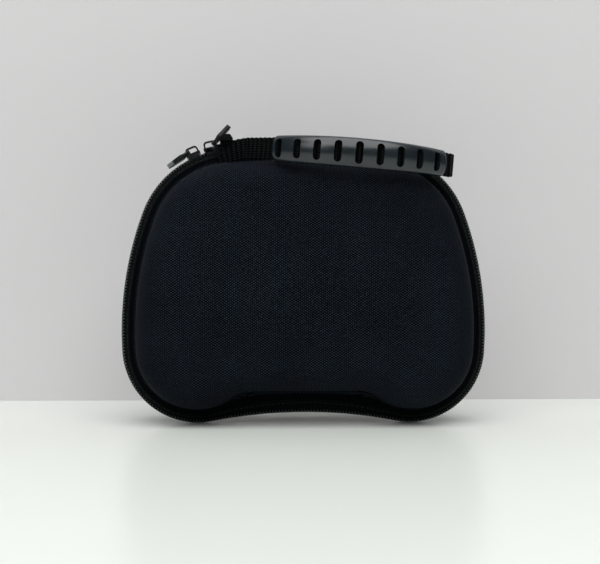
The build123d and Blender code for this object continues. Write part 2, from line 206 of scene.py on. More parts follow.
def scaled(tree, value, factor, offset):
    # value * factor + offset
    return sums(tree, "ADD", sums(tree, "MULTIPLY", value, factor), offset)


def spread(tree, value, share):
    # (value - 1/2) * share
    return sums(tree, "MULTIPLY", sums(tree, "SUBTRACT", value, 0.5), share)


def wave(tree, kind, value, turns):
    # sin or cos of value * turns
    return sums(tree, kind, sums(tree, "MULTIPLY", value, turns))


def shadeBy(tree, principled, value, stops):
    node = tree.nodes.new("ShaderNodeValToRGB")
    while len(node.color_ramp.elements) < len(stops):
        node.color_ramp.elements.new(0.5)
    for element, (at, colour) in zip(node.color_ramp.elements, stops):
        element.position = at
        element.color = (*colour, 1)
    tree.links.new(value, node.inputs[0])
    tree.links.new(node.outputs[0], principled.inputs["Base Color"])


def noise(tree, scale, detail=3.0):
    coords = tree.nodes.new("ShaderNodeTexCoord")
    node = tree.nodes.new("ShaderNodeTexNoise")
    setInputs(node, {"Scale": scale, "Detail": detail})
    tree.links.new(coords.outputs["Object"], node.inputs["Vector"])
    return node.outputs["Fac"]


def relief(tree, principled, height, distance):
    node = tree.nodes.new("ShaderNodeBump")
    setInputs(node, {"Distance": distance, "Strength": 1.0})
    tree.links.new(height, node.inputs["Height"])
    tree.links.new(node.outputs[0], principled.inputs["Normal"])


def clothCoords(tree):
    # the piece's own map: metres across the columns and along the rows
    coords = tree.nodes.new("ShaderNodeTexCoord")
    split = tree.nodes.new("ShaderNodeSeparateXYZ")
    tree.links.new(coords.outputs["UV"], split.inputs[0])
    return split.outputs[0], split.outputs[1]


weaveLook = dict(specular=0.03, sheenRoughness=0.5, unevenScale=900.0, unevenDetail=2.0, unevenShare=0.5,
                 patchScale=28.0, patchShare=0.25, lowAt=0.5, highAt=0.98)


def woven(name, low, high, pitch, roughness, depth=0.12, sheen=0.0):
    # plain weave: sin(pi u / pitch[0]) * sin(pi v / pitch[1]) is above zero where the warp lies on top; the colour
    # follows it as painted highlight on the yarns' tops and painted shade between them, and noise adds the cloth's
    # uneven tone
    w = weaveLook
    material, tree, principled = shader(name, high, roughness, specular=w["specular"])
    setInputs(principled, {"Sheen Weight": sheen, "Sheen Roughness": w["sheenRoughness"]})
    across, along = clothCoords(tree)
    columns = wave(tree, "SINE", across, pi / (pitch[0] * mm))
    rows = wave(tree, "SINE", along, pi / (pitch[1] * mm))
    cells = scaled(tree, sums(tree, "MULTIPLY", columns, rows), 0.5, 0.5)
    uneven = spread(tree, noise(tree, w["unevenScale"], w["unevenDetail"]), w["unevenShare"])
    broad = spread(tree, noise(tree, w["patchScale"]), w["patchShare"])
    paintedLightAndTone = sums(tree, "ADD", sums(tree, "ADD", cells, uneven), broad)
    shadeBy(tree, principled, paintedLightAndTone, [(w["lowAt"], low), (w["highAt"], high)])
    relief(tree, principled, cells, depth * mm)
    return material


# low is the painted shade in the rib troughs, high the painted highlight on the crests and dots
webLook = dict(low=(0.0003, 0.0004, 0.0006), high=(0.0095, 0.012, 0.0135), ribPitch=2.7, dotPitch=1.15, dotShare=0.4,
               depth=0.45, roughness=0.6, specular=0.04, unevenScale=700.0, unevenShare=0.9, unevenFloor=0.55,
               lowAt=0.3, highAt=0.95)


def ribbedWeb(name):
    # ribs (1 + cos(2 pi v / rib)) / 2, broken into dots by 1 - share + share * sin(2 pi u / dot); the colour follows
    # them as painted highlights on the crests and dots and painted shade in the troughs, times noise for uneven tone
    w = webLook
    material, tree, principled = shader(name, w["high"], w["roughness"], specular=w["specular"])
    across, along = clothCoords(tree)
    dots = scaled(tree, wave(tree, "SINE", across, 2 * pi / (w["dotPitch"] * mm)), w["dotShare"], 1 - w["dotShare"])
    ribs = scaled(tree, wave(tree, "COSINE", along, 2 * pi / (w["ribPitch"] * mm)), 0.5, 0.5)
    uneven = scaled(tree, noise(tree, w["unevenScale"]), w["unevenShare"], w["unevenFloor"])
    height = sums(tree, "MULTIPLY", ribs, dots)
    paintedLightAndTone = sums(tree, "MULTIPLY", height, uneven)
    shadeBy(tree, principled, paintedLightAndTone, [(w["lowAt"], w["low"]), (w["highAt"], w["high"])])
    relief(tree, principled, height, w["depth"] * mm)
    return material


def grained(name, colour, roughness, specular=0.5, metallic=0.0, grain=900.0, grainDetail=3.0, grainDepth=0.02,
            worn=None):
    # a moulded or painted surface: fine noise as its grain, broader noise where it is worn
    material, tree, principled = shader(name, colour, roughness, metallic, specular)
    if worn:
        shadeBy(tree, principled, noise(tree, worn["scale"], worn["detail"]), worn["stops"])
    relief(tree, principled, noise(tree, grain, grainDetail), grainDepth * mm)
    return material


# each cloth's low is the painted shade between its yarns, high the yarns' tops with painted highlight
clothLooks = dict(
    mouldedCover=dict(low=(0.0004, 0.0006, 0.0012), high=(0.0215, 0.0305, 0.044),
                      pitch=(0.9, 0.6), roughness=0.72),
    # the flange's cloth: the cover's cloth darkened, painted shade for the crease between tape and shell
    flangePaintedShade=dict(low=(0.0004, 0.0006, 0.0012), high=(0.0028, 0.0041, 0.0061),
                     pitch=(0.9, 0.6), roughness=0.8),
    brushedLining=dict(low=(0.008, 0.009, 0.011), high=(0.034, 0.038, 0.044),
                       pitch=(0.45, 0.45), roughness=0.95, depth=0.06, sheen=0.15),
    zipTapeCloth=dict(low=(0.0005, 0.0007, 0.001), high=(0.0068, 0.0105, 0.0105),
                      pitch=(0.5, 0.42), roughness=0.8, depth=0.06),
    bindingCloth=dict(low=(0.0005, 0.0007, 0.001), high=(0.0068, 0.0105, 0.0105),
                      pitch=(0.7, 0.9), roughness=0.85, depth=0.08),
    elasticCloth=dict(low=(0.002, 0.002, 0.0028), high=(0.022, 0.022, 0.027),
                      pitch=(1.1, 0.5), roughness=0.8, depth=0.15),
    netYarn=dict(low=(0.002, 0.002, 0.0028), high=(0.022, 0.022, 0.027),
                 pitch=(0.3, 0.3), roughness=0.85, depth=0.04),
    # lighter than the tape: the thread's own colour with painted highlight
    threadWithPaintedHighlight=dict(low=(0.012, 0.015, 0.015), high=(0.06, 0.072, 0.07),
                      pitch=(0.15, 0.2), roughness=0.5, depth=0.03))
hardLooks = dict(
    coilNylon=dict(colour=(0.017, 0.023, 0.023), roughness=0.3, specular=0.8, grain=1800.0),
    gripPlastic=dict(colour=(0.007, 0.012, 0.015), roughness=0.22, specular=0.6,
                     grain=1400.0, grainDetail=4.0, grainDepth=0.03,
                     worn=dict(scale=60.0, detail=5.0,
                               stops=[(0.3, (0.006, 0.01, 0.013)), (0.75, (0.01, 0.016, 0.019))])),
    sliderPaint=dict(colour=(0.003, 0.004, 0.005), roughness=0.28, specular=0.24,
                     worn=dict(scale=420.0, detail=4.0,
                               stops=[(0.35, (0.002, 0.003, 0.004)), (0.85, (0.007, 0.008, 0.009))])),
    pullTipMetal=dict(colour=(0.16, 0.175, 0.175), roughness=0.35, metallic=0.6))
cloth = {name: woven(name, **look) for name, look in clothLooks.items()}
hard = {name: grained(name, **look) for name, look in hardLooks.items()}
webCloth = ribbedWeb("handleWebbingCloth")
print("materials made")


# outline of the case, shared by every piece that follows its rim

caseOutline = dict(
    height=136.5, halfWidth=90.0, widest=46.0, topRadius=600.0, cornerRadius=48.0, sideRadius=168.0,
    lobeRadius=37.5, notchRise=5.0, wallInset=7.3, wallNotch=16.1, wallFlat=26.0,
    steps=dict(top=44, corner=26, side=34, lobe=34, notch=30))
o = caseOutline
topCentre = (0.0, o["height"] - o["topRadius"])
sideCentre = (o["halfWidth"] - o["sideRadius"], o["widest"])


def circlesMeet(a, radiusA, b, radiusB):
    # the right one of the two points at given distances from two centres
    dx, dz = b[0] - a[0], b[1] - a[1]
    gap = hypot(dx, dz)
    along = (radiusA**2 - radiusB**2 + gap**2) / (2 * gap)
    aside = sqrt(radiusA**2 - along**2)
    foot = (a[0] + dx * along / gap, a[1] + dz * along / gap)
    return max((foot[0] + way * dz * aside / gap, foot[1] - way * dx * aside / gap) for way in (1, -1))


def bearing(a, b):
    return atan2(b[1] - a[1], b[0] - a[0])


cornerCentre = circlesMeet(sideCentre, o["sideRadius"] - o["cornerRadius"],
                           topCentre, o["topRadius"] - o["cornerRadius"])
lobeReach = sqrt((o["sideRadius"] - o["lobeRadius"]) ** 2 - (o["widest"] - o["lobeRadius"]) ** 2)
lobeCentre = (sideCentre[0] + lobeReach, o["lobeRadius"])
cornerStart, cornerEnd = bearing(sideCentre, cornerCentre), bearing(topCentre, cornerCentre)
lobeEnd = bearing(sideCentre, lobeCentre)
centres = dict(top=topCentre, corner=cornerCentre, side=sideCentre, lobe=lobeCentre)


def arc(centre, radius, start, end, steps, way=1):
    # points centre + radius * (cos, sin), and their outward directions, without the last point
    angle = np.linspace(start, end, steps, endpoint=False)
    direction = joined(np.cos(angle), np.sin(angle))
    return np.array(centre) + radius * direction, way * direction


def closeLoop(parts, notchTop):
    # right half from the top to the middle of the notch, then its mirror image back up
    right = [np.concatenate([*part, [last]]) for part, last in zip(zip(*parts), ([0, notchTop], [0, -1.0]))]
    return [np.concatenate([part, part[-2:0:-1] * [-1, 1]]) for part in right]


def notchedArcs(inset, lobe, flat, level, moved, steps):
    # down from the top round the lobe and up into the notch, by an arc that meets a circle of the lobe's radius:
    # its own radius is (run^2 + rise^2 - lobe^2) / (2 (lobe - rise))
    run, rise = lobeCentre[0] - flat, lobeCentre[1] - level
    radius = (run**2 + rise**2 - lobe**2) / (2 * (lobe - rise))
    centre = (flat, level - radius)
    turns = [pi / 2, cornerEnd, cornerStart, lobeEnd, bearing(lobeCentre, centre)]
    parts = [arc(centres[k], o[k + "Radius"] - inset, start, end, o["steps"][k])
             for k, start, end in zip(centres, turns, turns[1:])]
    return parts + [arc(centre, radius + moved, bearing(centre, lobeCentre), pi / 2, steps, -1)]


def bandLoop(inset, notchHeight):
    # the zip's outline moved in by an inset, with one round notch below
    parts = notchedArcs(inset, o["lobeRadius"] - inset, 0.0, notchHeight, 0.0, o["steps"]["notch"])
    return closeLoop(parts, notchHeight)


def bandBetween(first, last, share, inward=0.0):
    # plan and depth a share of the way between two edges, each (inset, notch height, depth)
    inset, notch, depth = [a + (b - a) * share for a, b in zip(first, last)]
    return bandLoop(inset + inward, notch + inward)[0], depth


def zipLoop(inset):
    # the zip's outline moved in evenly, its notch too
    return bandLoop(inset, o["notchRise"] + inset)


def wallLoop(inset):
    # the moulded wall's outline, with a flat topped notch and round shoulders
    moved, half = inset - o["wallInset"], o["steps"]["notch"] // 2
    parts = notchedArcs(inset, o["lobeRadius"] - o["wallInset"], o["wallFlat"], o["wallNotch"], moved, half)
    x = np.linspace(o["wallFlat"], 0, o["steps"]["notch"] - half, endpoint=False)
    level = o["wallNotch"] + moved
    parts.append((joined(x, level), joined(0 * x, -1.0)))
    return closeLoop(parts, level)


def withDepth(plan, depth):
    # plan points (X, Z) with a depth in front of the parting plane
    return joined(plan[..., 0], -depth, plan[..., 1])


def carried(rows):
    # a closed profile, rows of plan points and depths, carried round: uv = (length round, length across),
    # with the length across measured at the case's side
    points = np.stack([withDepth(plan, depth) for plan, depth in rows])
    around = runLength(closed(points[0]))
    across = runLength(closed(points[:, len(rows[0][0]) // 8]))
    return points, joined(around, across[:, None])


halves = (("front", "lid", 1), ("back", "base", -1))


def bothHalves(suffix, points, uv, slotName, material, replaced=None, closeAlong=False):
    # one form on each half, mirrored in the parting plane
    for half, body, turn in halves:
        piece = surface(half + suffix, points * [1, turn, 1], uv, closeAlong)
        place(piece, body, slotName, [material], *([half + replaced] if replaced else []))


# moulded shells: pillowed cover outside, flange, and lined hollow inside

shellLook = dict(
    frontDepth=33.0, backDepth=37.0, wall=4.2, draft=4.5, edgeRadius=12.0, crownRadius=900.0, crownHeight=70.0,
    flangeStart=5.4, flangeThickness=3.5, flangeEdge=(5.4, 12.9), bandDepth=5.0, bandEdge=(2.9, 7.9),
    clothShare=0.42, faceMiddle=68.0, faceRings=22, edgeSteps=16, wallSteps=9)
wallSlope = tan(radians(shellLook["draft"]))


def mouldedForm(inset, depth, edgeRadius, crownRadius, start):
    # rows from the middle of the face over its rounded edge and down the drafted wall to a start depth,
    # each as plan points, depths and the cloth's map, which is the plan unrolled over the edge
    s = shellLook
    base, outward = wallLoop(inset)

    def faceDepth(plan):
        # depth - (R - sqrt(R^2 - r^2)), or level without a crown radius R
        if crownRadius is None:
            return np.full(len(plan), depth)
        away = plan[:, 0] ** 2 + (plan[:, 1] - s["crownHeight"]) ** 2
        return depth - (crownRadius - np.sqrt(crownRadius**2 - away))

    ringInset = wallSlope * (depth - edgeRadius - s["flangeStart"]) + edgeRadius
    ring = base - outward * ringInset
    rows = []
    for share in np.linspace(0, 1, s["faceRings"], endpoint=False):
        plan = np.array([0, s["faceMiddle"]]) * (1 - share) + ring * share
        rows.append((plan, faceDepth(plan), plan))
    below = []
    for angle in np.linspace(pi / 2, 0, s["edgeSteps"]):
        plan = base - outward * (ringInset - edgeRadius * cos(angle))
        below.append((plan, faceDepth(plan) - edgeRadius * (1 - sin(angle))))
    wallTop = below[-1][1]
    for share in np.linspace(0, 1, s["wallSteps"])[1:]:
        inwards = (ringInset - edgeRadius) * (1 - share) + wallSlope * (start - s["flangeStart"]) * share
        below.append((base - outward * inwards, wallTop * (1 - share) + start * share))
    points = np.stack([withDepth(*row) for row in below[:1] + below])
    length = np.cumsum(np.linalg.norm(np.diff(points, axis=0), axis=2), axis=0)
    return rows + [(*row, ring + outward * run[:, None]) for row, run in zip(below, length)]


def halfShell(depth, crownRadius):
    # cover, flange and hollow as one closed surface; materials: 0 cover, 1 lining, 2 flange, the cover's cloth darkened
    # as painted shade for the crease beside the zip tape
    s, wall = shellLook, shellLook["wall"]
    front = s["flangeStart"] + s["flangeThickness"]
    innerCrown = None if crownRadius is None else crownRadius - wall
    outer = mouldedForm(o["wallInset"], depth, s["edgeRadius"], crownRadius, front)
    inner = mouldedForm(o["wallInset"] + wall, depth - wall, s["edgeRadius"] - wall, innerCrown, s["flangeStart"])
    foot, _, footWrap = outer[-1]
    edge, _ = bandLoop(*s["flangeEdge"])
    share = (s["flangeStart"] - s["bandDepth"]) / (front - s["bandDepth"])
    low, _ = bandBetween((*s["bandEdge"], s["bandDepth"]), (*s["flangeEdge"], front), share)
    rim = [(foot + (edge - foot) * s["clothShare"], front), (edge, front), (low, s["flangeStart"])]
    rows = outer + [(plan, np.full(len(plan), d), footWrap + plan - foot) for plan, d in rim] + inner[::-1]
    points = np.stack([withDepth(plan, d) for plan, d, _ in rows])
    wraps = np.stack([wrap for _, _, wrap in rows])
    row = np.arange(len(rows)) - len(outer)
    return points, np.concatenate([wraps, wraps[:, :1]], 1), np.where(row > 1, 1, np.where(row >= 0, 2, 0))


for (half, body, turn), crown in zip(halves, (shellLook["crownRadius"], None)):
    points, uv, lined = halfShell(shellLook[half + "Depth"], crown)
    shell = surface(half + "Shell", points * [1, turn, 1], uv, rowMaterial=lined)
    finishes = [cloth["mouldedCover"], cloth["brushedLining"], cloth["flangePaintedShade"]]
    place(shell, body, "moulded_fabric", finishes, half + "_shell")
print("shells made")


# zip tapes, sloping from the coil in to the flange

tapeLook = dict(gap=0.5, thickness=0.9, inset=2.0, flatWidth=5.0, sewnEdge=(4.5, 12.0, 8.9),
                flatRows=5, slopeRows=7, underRows=4)


def tapeRow(share, inward):
    # share 0 at the fold beside the coil, 1 at the sewn edge
    t = tapeLook
    fold = (t["inset"], o["notchRise"] + t["inset"], t["flatWidth"])
    return bandBetween(fold, t["sewnEdge"], share, inward)


def tape():
    # level beside the coil, sloping to the sewn edge, and back along the underside
    t = tapeLook
    outer, inner = zipLoop(t["inset"])[0], zipLoop(t["inset"] + t["thickness"])[0]
    rows = [(outer, d) for d in np.linspace(t["gap"], t["flatWidth"], t["flatRows"])[:-1]]
    rows += [tapeRow(share, 0) for share in np.linspace(0, 1, t["slopeRows"])]
    rows += [tapeRow(share, t["thickness"]) for share in np.linspace(1, 0, t["underRows"])]
    rows += [(inner, d) for d in np.linspace(t["flatWidth"], t["gap"], t["underRows"])[1:]]
    return carried(rows)


bothHalves("Tape", *tape(), "zip_tape", cloth["zipTapeCloth"], "_zip_tape", closeAlong=True)


def evenly(loop, outward, depth, pitch):
    # places at an even pitch round a loop: point, direction along and direction outwards
    line = withDepth(closed(loop), depth)
    run = runLength(line)
    count = round(run[-1] / pitch)
    at = (np.arange(count) + 0.5) * run[-1] / count
    out = pointsAt(at, run, withDepth(closed(outward), 0.0))
    out /= np.linalg.norm(out, axis=1)[:, None]
    return pointsAt(at, run, line), np.cross(out, [0, 1, 0]), out


def beads(where, axisA, axisB, axisC, a, b, c, rows, columns, square, lean=0.0, girth=2.0):
    # rounded bars: where + axisC c sin(p) + cos(p)^square * (axisA a cos(q) + axisB b sin(q)), leaning along A
    p = np.linspace(-pi / 2, pi / 2, rows)
    q = circle(columns)
    ring = np.maximum(np.cos(p), 0) ** square
    height = c * np.sin(p)
    along = (a * ring[:, None] * np.cos(q)[None] + lean * height[:, None])[None, :, :, None]
    out = (b * ring[:, None] * np.sin(q)[None])[None, :, :, None]
    points = where[:, None, None] + axisA[:, None, None] * along + axisB[:, None, None] * out
    points = points + axisC[:, None, None] * height[None, :, None, None]
    around = np.linspace(0, girth, columns + 1)
    flat = joined(around, height[:, None])
    return points, np.broadcast_to(flat, (len(where), *flat.shape))


# a stitch beside each of the coil's loops, and a row that holds the tape to the flange; the thread is lighter than the
# tape, partly its own colour and partly a painted highlight for the light dots along the zip
stitchLook = dict(
    halfWidth=0.18, halfHeight=0.16, outwardInset=4.0, outwardNotch=11.0, form=dict(rows=5, columns=6, square=0.5),
    seams=[dict(name="CoilStitch", share=0.04, inward=-0.14, pitch=1.57, length=1.1),
           dict(name="TapeStitch", share=0.72, inward=-0.12, pitch=2.6, length=1.9)])
for seam in stitchLook["seams"]:
    k = stitchLook
    loop, depth = tapeRow(seam["share"], seam["inward"])
    outward = bandLoop(k["outwardInset"], k["outwardNotch"])[1]
    where, along, out = evenly(loop, outward, depth, seam["pitch"])
    points, uv = beads(where, np.cross(along, out), out, along, k["halfWidth"], k["halfHeight"], seam["length"] / 2,
                       **k["form"])
    bothHalves(seam["name"], points, uv, "zip_tape", cloth["threadWithPaintedHighlight"])
print("tapes made")


# zip coil: rounded loops of nylon that lean a little along the zip, over an oval cord

coilLook = dict(pitch=1.57, inset=1.05, halfAlong=0.6, halfOut=0.98, nearDepth=0.3, farDepth=3.7,
                cordOut=0.74, cordDeep=1.5, cordRadius=1.15, cordSides=14, backShift=0.5,
                form=dict(rows=7, columns=8, square=0.4, lean=0.16))
coilMiddle = (coilLook["nearDepth"] + coilLook["farDepth"]) / 2


def coil(shift):
    c = coilLook
    where, along, out = evenly(*zipLoop(c["inset"]), coilMiddle, c["pitch"])
    where = where + along * c["pitch"] * shift
    deep = np.tile([0, -1.0, 0], (len(where), 1))
    half = (c["farDepth"] - c["nearDepth"]) / 2
    return beads(where, along, out, deep, c["halfAlong"], c["halfOut"], half, **c["form"])


def fillerCord():
    # inset + out * cos(a), depth + deep * sin(a), carried round the zip
    c = coilLook
    angle = np.linspace(0, 2 * pi, c["cordSides"] + 1)
    rows = [(zipLoop(c["inset"] + c["cordOut"] * cos(a))[0], coilMiddle + c["cordDeep"] * sin(a)) for a in angle[:-1]]
    points, uv = carried(rows)
    return points, joined(uv[..., 0], c["cordRadius"] * angle[:, None])


# the cord takes the tape's dark cloth, darker than the coil's nylon: painted shade in the gaps between the loops
bothHalves("Cord", *fillerCord(), "zip_coil", cloth["bindingCloth"], closeAlong=True)
for (half, body, turn), shift in zip(halves, (0.0, coilLook["backShift"])):
    points, uv = coil(shift)
    piece = surface(half + "Coil", points * [1, turn, 1], uv)
    place(piece, body, "zip_coil", [hard["coilNylon"]], half + "_zip_coil")
print("coils made")


# edge binding inside each rim

bindingLook = dict(thickness=0.8, width=5.5, faceFrom=1.0, faceTo=0.4, rows=4)


def binding():
    # out of the wall's foot, over the rim's face and down inside the hollow
    b, lip = bindingLook, shellLook["flangeStart"]
    outer, inner = o["wallInset"], o["wallInset"] + shellLook["wall"]
    face, deep, lined = lip - b["thickness"], lip + b["width"], inner + b["thickness"]
    profile = [(outer, lip), (outer, face)]
    profile += [(inset, face) for inset in np.linspace(outer + b["faceFrom"], inner + b["faceTo"], b["rows"])]
    profile += [(lined, lip)]
    profile += [(lined + wallSlope * (d - lip), d) for d in np.linspace(lip + b["faceFrom"], deep, b["rows"])]
    profile += [(inner + wallSlope * b["width"], deep), (inner, lip)]
    return carried([(wallLoop(inset)[0], d) for inset, d in profile])


bothHalves("Binding", *binding(), "binding_tape", cloth["bindingCloth"], "_rim_binding", closeAlong=True)
print("bindings made")


# handle: webbing, its sewn ends, the tab round the rolled end, and the grip

handleLook = dict(
    gripX=25.0, gripReach=40.5, gripHeight=129.2, radius=66.0, halfAngle=39.0, tilt=4.8, width=11.0, thickness=1.5,
    corner=0.45, ribDepth=0.26, foldRun=3.5, foldRadius=3.0, foldTurn=119.0, axisDepth=10.9,
    points=dict(left=26, arc=90, right=5, fold=24, leg=20, sewn=40),
    lidSide=-10.2, leftBend=-16.0, rightBend=-17.4, leftSeam=(-42.5, -9.7, 131.0), rightSeam=(50.5, -9.7, 126.8),
    rightSlimmest=0.5, seamPull=(0.35, 0.55, 0.0))
tabLook = dict(rollRadius=1.7, rollLength=5.4, rollSink=1.25, rollGap=0.08, anchorGap=0.4, thickness=1.3, width=6.4,
               foot=127.0, nearDepth=9.3, farDepth=10.3, roundPoints=36, straightPoints=14, topNarrow=0.45,
               corner=0.45, ribPitch=1.4, ribDepth=0.16)
h = handleLook
halfAngle, tilt = radians(h["halfAngle"]), radians(h["tilt"])
upright = (sin(tilt), 0, cos(tilt))
gripCentre = np.array([h["gripX"], h["radius"] - h["gripReach"]])
leftRun = (-h["axisDepth"] - gripCentre[1] + h["radius"] * cos(halfAngle)) / sin(halfAngle)
leftX = h["gripX"] - h["radius"] * sin(halfAngle) - leftRun * cos(halfAngle)
axisHeight = h["gripHeight"] + (h["gripX"] - leftX) * sin(tilt) + h["width"] / 2 - tabLook["rollSink"]


def tilted(plan):
    # level plan points turned about the grip's middle by the tilt
    away = plan[:, 0] - h["gripX"]
    return joined(h["gripX"] + away * cos(tilt), plan[:, 1], h["gripHeight"] - away * sin(tilt))


def handleLine():
    # straight run, arc of the grip, short run and fold in plan, then the leg back to the right seam
    count = h["points"]
    angle = np.linspace(1.5 * pi - halfAngle, 1.5 * pi + halfAngle, count["arc"])
    arcPart = gripCentre + h["radius"] * joined(np.cos(angle), np.sin(angle))
    onward = np.array([cos(halfAngle), sin(halfAngle)])
    left = arcPart[0] + onward * [-1, 1] * np.linspace(leftRun, 0, count["left"])[:-1, None]
    right = arcPart[-1] + onward * np.linspace(0, h["foldRun"], count["right"])[1:, None]
    turnCentre = right[-1] + h["foldRadius"] * np.array([-onward[1], onward[0]])
    sweep = halfAngle - pi / 2 + np.linspace(0, radians(h["foldTurn"]), count["fold"])[1:]
    fold = turnCentre + h["foldRadius"] * joined(np.cos(sweep), np.sin(sweep))
    line = tilted(np.concatenate([left, arcPart, right, fold]))
    heading = halfAngle + radians(h["foldTurn"])
    run = (-h["axisDepth"] - line[-1, 1]) / sin(heading)
    steps = np.linspace(0, run, count["leg"])[1:, None]
    leg = line[-1] + steps * np.array([cos(heading), sin(heading), 0])
    leg[:, 2] += (axisHeight + tabLook["rollSink"] - h["width"] / 2 - line[-1, 2]) * steps[:, 0] / run
    directions = [np.tile(upright, (len(line), 1)), np.tile([0, 0, 1.0], (len(leg), 1))]
    return np.concatenate([line, leg]), np.concatenate(directions)


def webbing(line, across, narrow=1.0):
    return ribbon(line, across, h["width"], h["thickness"], h["corner"], webLook["ribPitch"], h["ribDepth"], narrow)


handleRun, handleUp = handleLine()
leftCut = np.nonzero(handleRun[:, 1] < h["leftBend"])[0][0]
rightCut = np.nonzero(handleRun[:, 1] < h["rightBend"])[0][-1]
kept = slice(leftCut, rightCut + 1)
place(surface("handleWebbing", *webbing(handleRun[kept], handleUp[kept])), "handle", "webbing", [webCloth],
      "handle_webbing")


def sewnEnd(name, start, up, seam, bend, slimmest, *nodes):
    # webbing from the handle to its seam on the flange: (1 - t)^2 start + 2 t (1 - t) middle + t^2 seam,
    # and its width narrows to the slimmest share by t^2 (3 - 2 t)
    t = np.linspace(0, 1, h["points"]["sewn"])[:, None]
    seam, pull = np.array(seam), np.array(h["seamPull"])
    middle = seam * pull + start * (1 - pull)
    line = (1 - t) ** 2 * start + 2 * t * (1 - t) * middle + t**2 * seam
    eased = (t * t * (3 - 2 * t))[:, 0]
    piece = surface(name, *webbing(line, up, 1 + (slimmest - 1) * eased))
    piece.data.materials.append(webCloth)
    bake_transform(piece)
    if nodes:
        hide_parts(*nodes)


sewnEnd("webbingEndLeft", handleRun[leftCut + 1], handleUp[0], h["leftSeam"], h["leftBend"], 1.0)
sewnEnd("webbingEndRight", handleRun[rightCut - 1], handleUp[-1], h["rightSeam"], h["rightBend"], h["rightSlimmest"],
        "handle_anchor_right")


def tabLine(endX):
    # up the flange, round the rolled end and down again, narrower over the top
    k = tabLook
    middleX = endX - k["anchorGap"] - k["rollLength"] / 2
    radius = k["rollRadius"] + k["rollGap"] + k["thickness"] / 2
    angle = np.linspace(0, 1.5 * pi, k["roundPoints"])
    loop = joined(-h["axisDepth"] + radius * np.cos(angle), axisHeight + radius * np.sin(angle))
    up = np.linspace([-k["nearDepth"], k["foot"]], loop[0], k["straightPoints"])[:-1]
    down = np.linspace(loop[-1], [-k["farDepth"], k["foot"]], k["straightPoints"])[1:]
    line = np.concatenate([up, loop, down])
    narrow = 1 - k["topNarrow"] * np.clip((line[:, 1] - axisHeight) / radius, 0, 1) ** 2
    return joined(middleX, *line.T), narrow


line, narrow = tabLine(leftX)
tab = ribbon(line, (1, 0, 0), *[tabLook[k] for k in ("width", "thickness", "corner", "ribPitch", "ribDepth")], narrow)
place(surface("handleTab", *tab), "lid", "webbing", [webCloth], "handle_anchor_left")


def carve(name, form, cutters, rim, added=()):
    # the form with what is added, less its cutters, and its sharp edges rounded
    for other, operation in [(a, "UNION") for a in added] + [(c, "DIFFERENCE") for c in cutters]:
        cut = form.modifiers.new("cut", "BOOLEAN")
        cut.operation, cut.solver, cut.object = operation, "EXACT", other
    mesh = bpy.data.meshes.new_from_object(form.evaluated_get(bpy.context.evaluated_depsgraph_get()))
    for used in [form, *cutters, *added]:
        bpy.data.objects.remove(used)
    mesh.name = name
    mesh.polygons.foreach_set("use_smooth", np.ones(len(mesh.polygons), bool))
    mesh.set_sharp_from_angle(angle=radians(meshLook["sharpAngle"]))
    piece = linked(name, mesh)
    soften = piece.modifiers.new("softRims", "BEVEL")
    soften.width, soften.segments = rim * mm, meshLook["bevelSegments"]
    soften.limit_method, soften.angle_limit = "ANGLE", radians(meshLook["bevelAngle"])
    return piece


gripLook = dict(
    start=-36.4, end=37.0, thickness=6.4, middleHeight=13.9, endHeight=12.3, power=2.1, endRound=0.4, endEase=0.03,
    rows=110, sides=56, rim=0.18, channelGap=0.1, channelCorner=0.1, channelOver=0.05, channelPoints=90,
    slots=9, slotMiddleAngle=-0.8, slotPitch=8.25, slotWidth=3.6, slotEnd=8.9, slotMiddle=10.5,
    slotFrom=0.2, slotTo=6.0, slotSides=32)


def onGrip(angle, outwards, sideways, up):
    # a point by its angle round the grip's arc, its reach from it, and its height along the tilted upright
    x = gripCentre[0] + (h["radius"] + outwards) * np.sin(angle) + sideways * np.cos(angle) - h["gripX"]
    y = gripCentre[1] - (h["radius"] + outwards) * np.cos(angle) + sideways * np.sin(angle)
    return joined(h["gripX"] + x * cos(tilt) + up * sin(tilt), y, h["gripHeight"] - x * sin(tilt) + up * cos(tilt))


def gripForm():
    # section |a / A|^p + |b / B|^p = 1 round the arc, with B lower towards the rounded ends
    g = gripLook
    angle = np.linspace(radians(g["start"]), radians(g["end"]), g["rows"])
    half = h["radius"] * sin(halfAngle)
    rise = (g["middleHeight"] - g["endHeight"]) / 2
    bow = (half**2 + rise**2) / (2 * rise)
    tall = g["middleHeight"] / 2 - bow + np.sqrt(bow**2 - (h["radius"] * np.sin(angle)) ** 2)
    fromEnd = np.minimum(angle - angle[0], angle[-1] - angle) * h["radius"]
    ease = np.sqrt(1 - np.clip(1 - fromEnd / g["endRound"], 0, 1) ** 2) * g["endEase"] + 1 - g["endEase"]
    a, b = squared(g["sides"], 2 / g["power"])
    a = a * g["thickness"] / 2
    return capped(onGrip(angle[:, None], a[None] * ease[:, None], 0.0, b[None] * (tall * ease)[:, None]))


def slotCutters():
    # upright rounded slots from outside the sleeve in to the webbing
    g = gripLook
    middle = (g["slots"] - 1) / 2
    number = np.arange(g["slots"]) - middle
    length = g["slotEnd"] + (g["slotMiddle"] - g["slotEnd"]) * (1 - np.abs(number) / middle)
    turn = circle(g["slotSides"])
    across = g["slotWidth"] / 2 * np.cos(turn)[None] * np.ones((g["slots"], 1))
    half = np.where(np.arange(len(turn)) <= len(turn) // 2, 1, -1)  # upper and lower round end
    up = g["slotWidth"] / 2 * np.sin(turn)[None] + half[None] * (length[:, None] - g["slotWidth"]) / 2
    angle = np.radians(number * g["slotPitch"] + g["slotMiddleAngle"])[:, None]
    ends = endToEnd(g["slotFrom"], g["slotTo"])
    return np.stack([onGrip(angle, reach, across * size, up * size) for reach, size in ends], 1)


